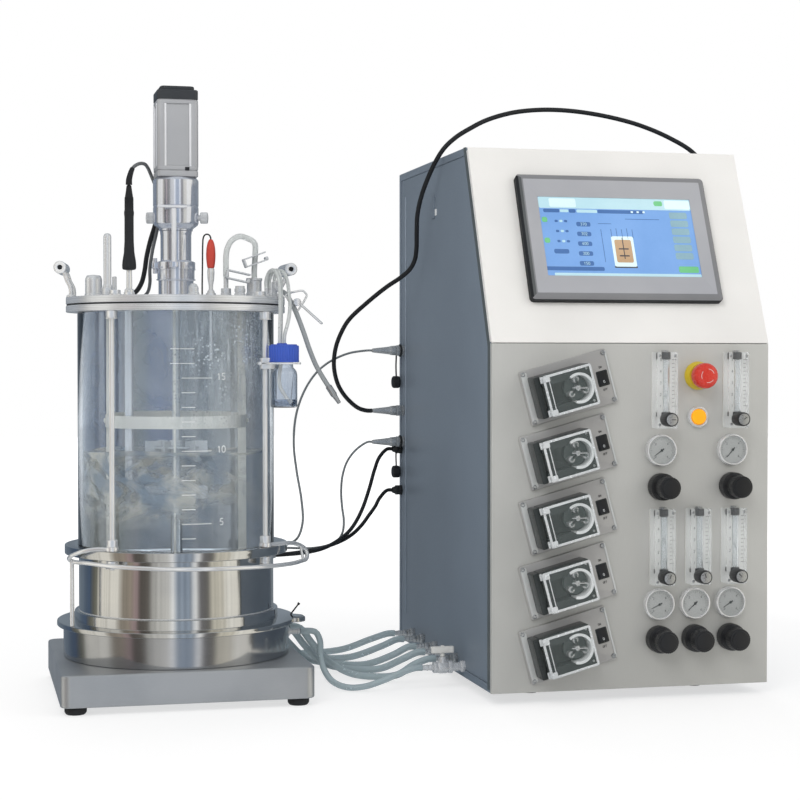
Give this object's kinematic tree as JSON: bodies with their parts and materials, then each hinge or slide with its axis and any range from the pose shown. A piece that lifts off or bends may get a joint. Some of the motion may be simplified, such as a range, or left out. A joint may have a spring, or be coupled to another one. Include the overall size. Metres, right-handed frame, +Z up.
{
  "type": "bench bioreactor",
  "caption": "Stirred glass culture vessel on a heated steel foot, cabled to a control cabinet with tilted pumps, gas meters, regulators and a sloped touch panel.",
  "frame": {"origin": "on the bench, under the middle of the bounding box of vessel and cabinet, free cords left out", "axes": "+X from the vessel towards the cabinet, +Y away from the operator, +Z up"},
  "size_m": [1.0501, 0.59, 0.8661],
  "materials": {
    "satin_steel": "satin",
    "motor_steel": "satin",
    "polished_steel": "polished",
    "roller_steel": "satin",
    "glass": "gloss",
    "clear_plastic": "gloss",
    "black_rubber": "matte",
    "silicone": "satin",
    "grey_tube": "satin",
    "slate_paint": "satin",
    "white_paint": "satin",
    "fascia_panel": "satin",
    "dark_frame": "gloss",
    "black_plastic": "satin",
    "white_plastic": "satin",
    "red_plastic": "gloss",
    "amber_lens": "gloss",
    "blue_plastic": "satin"
  },
  "bodies": {
    "station": {"base_plate": "satin_steel", "heater_drum": "polished_steel", "vessel_bottom": "polished_steel", "glass_cylinder": "glass", "upper_flange": "polished_steel", "lid_gasket": "black_rubber", "lid_plate": "polished_steel", "wire_guard": "polished_steel", "baffle_cage": "satin_steel", "seal_housing": "polished_steel", "motor_adapter": "polished_steel", "drive_motor": "motor_steel", "ph_probe": "black_rubber", "foam_probe": "red_plastic", "sample_bottle": "glass", "bottle_cap": "blue_plastic", "upper_fascia": "white_paint", "touch_panel": "dark_frame", "cabinet_case": "slate_paint", "lower_fascia": "fascia_panel", "overhead_cable": "black_rubber", "jacket_sensor_cable": "grey_tube", "level_sensor_cable": "grey_tube", "heater_cable_1": "black_rubber", "heater_cable_2": "black_rubber", "ph_cable": "black_rubber", "motor_cable": "black_rubber", "vent_tube": "silicone", "bottle_tube": "silicone", "sampling_tube": "grey_tube", "drain_hose": "silicone"},
    "agitator_body": {"agitator": "polished_steel"},
    "stop_button_body": {"stop_button": "red_plastic"},
    "start_button_body": {"start_button": "amber_lens"},
    "drain_valve_handle_body": {"drain_valve_handle": "white_plastic"},
    "pump_rotor_1_body": {"pump_rotor_1": "roller_steel"},
    "pump_cover_1_body": {"pump_cover_1": "clear_plastic"},
    "pump_switch_1_body": {"pump_switch_1": "black_plastic"},
    "flow_knob_1_body": {"flow_knob_1": "black_plastic"},
    "regulator_knob_1_body": {"regulator_knob_1": "black_plastic"},
    "pump_rotor_2_body": {"pump_rotor_2": "roller_steel"},
    "pump_cover_2_body": {"pump_cover_2": "clear_plastic"},
    "pump_switch_2_body": {"pump_switch_2": "black_plastic"},
    "flow_knob_2_body": {"flow_knob_2": "black_plastic"},
    "regulator_knob_2_body": {"regulator_knob_2": "black_plastic"},
    "pump_rotor_3_body": {"pump_rotor_3": "roller_steel"},
    "pump_cover_3_body": {"pump_cover_3": "clear_plastic"},
    "pump_switch_3_body": {"pump_switch_3": "black_plastic"},
    "flow_knob_3_body": {"flow_knob_3": "black_plastic"},
    "regulator_knob_3_body": {"regulator_knob_3": "black_plastic"},
    "pump_rotor_4_body": {"pump_rotor_4": "roller_steel"},
    "pump_cover_4_body": {"pump_cover_4": "clear_plastic"},
    "pump_switch_4_body": {"pump_switch_4": "black_plastic"},
    "flow_knob_4_body": {"flow_knob_4": "black_plastic"},
    "regulator_knob_4_body": {"regulator_knob_4": "black_plastic"},
    "pump_rotor_5_body": {"pump_rotor_5": "roller_steel"},
    "pump_cover_5_body": {"pump_cover_5": "clear_plastic"},
    "pump_switch_5_body": {"pump_switch_5": "black_plastic"},
    "flow_knob_5_body": {"flow_knob_5": "black_plastic"},
    "regulator_knob_5_body": {"regulator_knob_5": "black_plastic"}
  },
  "joints": [
    {"name": "agitator_spin", "type": "hinge", "parent": "station", "child": "agitator_body", "pos_m": [-0.3305, -0.018, 0.4], "axis": [0, 0, 1], "continuous": true},
    {"name": "pump_rotor_1_spin", "type": "hinge", "parent": "station", "child": "pump_rotor_1_body", "pos_m": [0.19035, -0.258, 0.43776], "axis": [0, -1, 0], "continuous": true},
    {"name": "pump_rotor_2_spin", "type": "hinge", "parent": "station", "child": "pump_rotor_2_body", "pos_m": [0.19035, -0.258, 0.34826], "axis": [0, -1, 0], "continuous": true},
    {"name": "pump_rotor_3_spin", "type": "hinge", "parent": "station", "child": "pump_rotor_3_body", "pos_m": [0.19035, -0.258, 0.25876], "axis": [0, -1, 0], "continuous": true},
    {"name": "pump_rotor_4_spin", "type": "hinge", "parent": "station", "child": "pump_rotor_4_body", "pos_m": [0.19035, -0.258, 0.16926], "axis": [0, -1, 0], "continuous": true},
    {"name": "pump_rotor_5_spin", "type": "hinge", "parent": "station", "child": "pump_rotor_5_body", "pos_m": [0.19035, -0.258, 0.07976], "axis": [0, -1, 0], "continuous": true},
    {"name": "pump_cover_1_hinge", "type": "hinge", "parent": "station", "child": "pump_cover_1_body", "pos_m": [0.14083, -0.2826, 0.42553], "axis": [0.2588, 0, -0.9659], "range_deg": [0, 100]},
    {"name": "pump_cover_2_hinge", "type": "hinge", "parent": "station", "child": "pump_cover_2_body", "pos_m": [0.14083, -0.2826, 0.33603], "axis": [0.2588, 0, -0.9659], "range_deg": [0, 100]},
    {"name": "pump_cover_3_hinge", "type": "hinge", "parent": "station", "child": "pump_cover_3_body", "pos_m": [0.14083, -0.2826, 0.24653], "axis": [0.2588, 0, -0.9659], "range_deg": [0, 100]},
    {"name": "pump_cover_4_hinge", "type": "hinge", "parent": "station", "child": "pump_cover_4_body", "pos_m": [0.14083, -0.2826, 0.15703], "axis": [0.2588, 0, -0.9659], "range_deg": [0, 100]},
    {"name": "pump_cover_5_hinge", "type": "hinge", "parent": "station", "child": "pump_cover_5_body", "pos_m": [0.14083, -0.2826, 0.06753], "axis": [0.2588, 0, -0.9659], "range_deg": [0, 100]},
    {"name": "pump_switch_1_rock", "type": "hinge", "parent": "station", "child": "pump_switch_1_body", "pos_m": [0.23452, -0.249, 0.45063], "axis": [0.9659, 0, 0.2588], "range_deg": [0, 16]},
    {"name": "pump_switch_2_rock", "type": "hinge", "parent": "station", "child": "pump_switch_2_body", "pos_m": [0.23452, -0.249, 0.36113], "axis": [0.9659, 0, 0.2588], "range_deg": [0, 16]},
    {"name": "pump_switch_3_rock", "type": "hinge", "parent": "station", "child": "pump_switch_3_body", "pos_m": [0.23452, -0.249, 0.27163], "axis": [0.9659, 0, 0.2588], "range_deg": [0, 16]},
    {"name": "pump_switch_4_rock", "type": "hinge", "parent": "station", "child": "pump_switch_4_body", "pos_m": [0.23452, -0.249, 0.18213], "axis": [0.9659, 0, 0.2588], "range_deg": [0, 16]},
    {"name": "pump_switch_5_rock", "type": "hinge", "parent": "station", "child": "pump_switch_5_body", "pos_m": [0.23452, -0.249, 0.09263], "axis": [0.9659, 0, 0.2588], "range_deg": [0, 16]},
    {"name": "stop_button_press", "type": "slide", "parent": "station", "child": "stop_button_body", "axis": [0, 1, 0], "range_m": [0, 0.005]},
    {"name": "start_button_press", "type": "slide", "parent": "station", "child": "start_button_body", "axis": [0, 1, 0], "range_m": [0, 0.0025], "stiffness_N_per_m": 500, "springref_m": -0.001},
    {"name": "flow_knob_1_turn", "type": "hinge", "parent": "station", "child": "flow_knob_1_body", "pos_m": [0.3215, -0.267, 0.3935], "axis": [0, -1, 0], "range_deg": [0, 720]},
    {"name": "flow_knob_2_turn", "type": "hinge", "parent": "station", "child": "flow_knob_2_body", "pos_m": [0.4285, -0.267, 0.3935], "axis": [0, -1, 0], "range_deg": [0, 720]},
    {"name": "flow_knob_3_turn", "type": "hinge", "parent": "station", "child": "flow_knob_3_body", "pos_m": [0.319, -0.267, 0.174], "axis": [0, -1, 0], "range_deg": [0, 720]},
    {"name": "flow_knob_4_turn", "type": "hinge", "parent": "station", "child": "flow_knob_4_body", "pos_m": [0.3725, -0.267, 0.174], "axis": [0, -1, 0], "range_deg": [0, 720]},
    {"name": "flow_knob_5_turn", "type": "hinge", "parent": "station", "child": "flow_knob_5_body", "pos_m": [0.426, -0.267, 0.174], "axis": [0, -1, 0], "range_deg": [0, 720]},
    {"name": "regulator_knob_1_turn", "type": "hinge", "parent": "station", "child": "regulator_knob_1_body", "pos_m": [0.3215, -0.245, 0.2985], "axis": [0, -1, 0], "range_deg": [0, 1080]},
    {"name": "regulator_knob_2_turn", "type": "hinge", "parent": "station", "child": "regulator_knob_2_body", "pos_m": [0.4285, -0.245, 0.2985], "axis": [0, -1, 0], "range_deg": [0, 1080]},
    {"name": "regulator_knob_3_turn", "type": "hinge", "parent": "station", "child": "regulator_knob_3_body", "pos_m": [0.319, -0.245, 0.0844], "axis": [0, -1, 0], "range_deg": [0, 1080]},
    {"name": "regulator_knob_4_turn", "type": "hinge", "parent": "station", "child": "regulator_knob_4_body", "pos_m": [0.3725, -0.245, 0.0844], "axis": [0, -1, 0], "range_deg": [0, 1080]},
    {"name": "regulator_knob_5_turn", "type": "hinge", "parent": "station", "child": "regulator_knob_5_body", "pos_m": [0.426, -0.245, 0.0844], "axis": [0, -1, 0], "range_deg": [0, 1080]},
    {"name": "drain_valve_turn", "type": "hinge", "parent": "station", "child": "drain_valve_handle_body", "pos_m": [0.0435, -0.103, 0.039], "axis": [0, 0, 1], "range_deg": [0, 90]}
  ]
}
